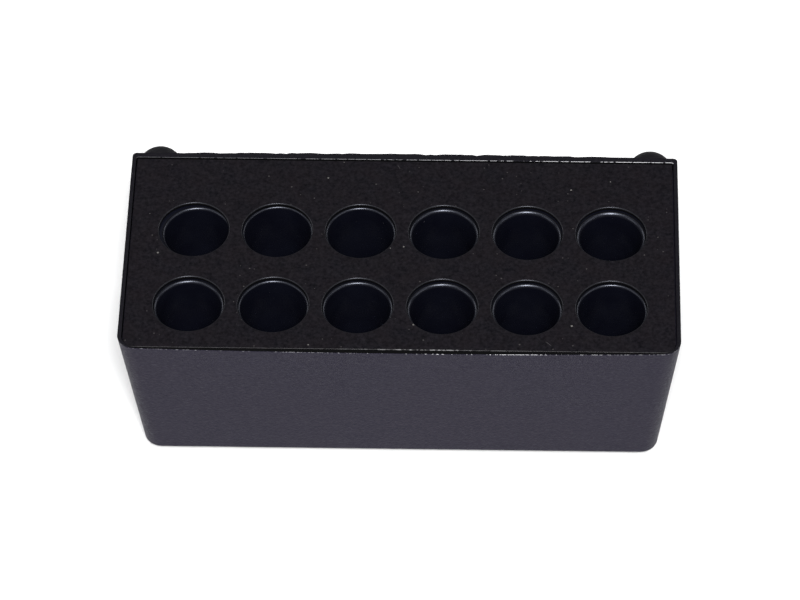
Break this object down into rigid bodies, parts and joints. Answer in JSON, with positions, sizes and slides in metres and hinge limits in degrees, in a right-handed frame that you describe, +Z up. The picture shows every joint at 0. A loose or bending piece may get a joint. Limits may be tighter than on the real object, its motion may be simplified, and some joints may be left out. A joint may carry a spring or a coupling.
{
  "type": "dry block heater",
  "caption": "Compact dry block heater: a tapered moulded tub with a flush perforated deck over a heated block with upright tube wells, rear bumpers, low-voltage inlet and slide switch.",
  "frame": {"origin": "middle of the overall box, on the surface that the four feet stand on", "axes": "+X along the rows of wells to the right, +Y to the rear wall with its bumpers, +Z up"},
  "size_m": [0.1302, 0.0668, 0.0421],
  "materials": {
    "tub_plastic": "fine-grained moulded ABS, near-black with a blue-grey cast",
    "deck_black": "satin black sheet, slightly dusty and scuffed",
    "black_rubber": "matte black rubber",
    "black_anodised": "black anodised, glossy, with a blue cast in the wells",
    "heater_silicone": "brick-red silicone rubber",
    "mill_aluminium": "mill finish",
    "insulation_felt": "pressed mineral felt",
    "steatite": "off-white fired ceramic",
    "black_case": "black phenolic",
    "tinned_steel": "tinned",
    "zinc_steel": "bright zinc plate",
    "brass": "nickel-free brass contact",
    "knob_plastic": "black nylon",
    "red_lead": "red PVC insulation",
    "black_lead": "black PVC insulation"
  },
  "bodies": {
    "housing": {"base_insulation": "insulation_felt", "block_screw_1": "zinc_steel", "block_screw_2": "zinc_steel", "block_screw_3": "zinc_steel", "block_screw_4": "zinc_steel", "clamp_plate": "mill_aluminium", "clip_screw": "zinc_steel", "deck_plate": "deck_black", "deck_seal": "black_rubber", "device_clip": "zinc_steel", "foot_1": "black_rubber", "foot_2": "black_rubber", "foot_3": "black_rubber", "foot_4": "black_rubber", "heater_mat": "heater_silicone", "heating_block": "black_anodised", "housing_tub": "tub_plastic", "inlet_body": "black_case", "inlet_nut": "zinc_steel", "inlet_pin": "brass", "lead_cutout_to_thermostat": "red_lead", "lead_heater_to_inlet": "black_lead", "lead_inlet_to_switch": "red_lead", "lead_switch_to_cutout": "red_lead", "lead_thermostat_to_heater": "red_lead", "rear_bumper_left": "black_rubber", "rear_bumper_right": "black_rubber", "rear_insulation": "insulation_felt", "spacer_bush_1": "steatite", "spacer_bush_2": "steatite", "spacer_bush_3": "steatite", "spacer_bush_4": "steatite", "switch_body": "tinned_steel", "switch_screw_1": "zinc_steel", "switch_screw_2": "zinc_steel", "thermal_cutout": "tinned_steel", "thermostat": "black_case"},
    "power_switch": {"switch_knob": "knob_plastic"}
  },
  "joints": [
    {"name": "power_switch_slide", "type": "slide", "parent": "housing", "child": "power_switch", "axis": [1, 0, 0], "range_m": [0, 0.003]}
  ]
}
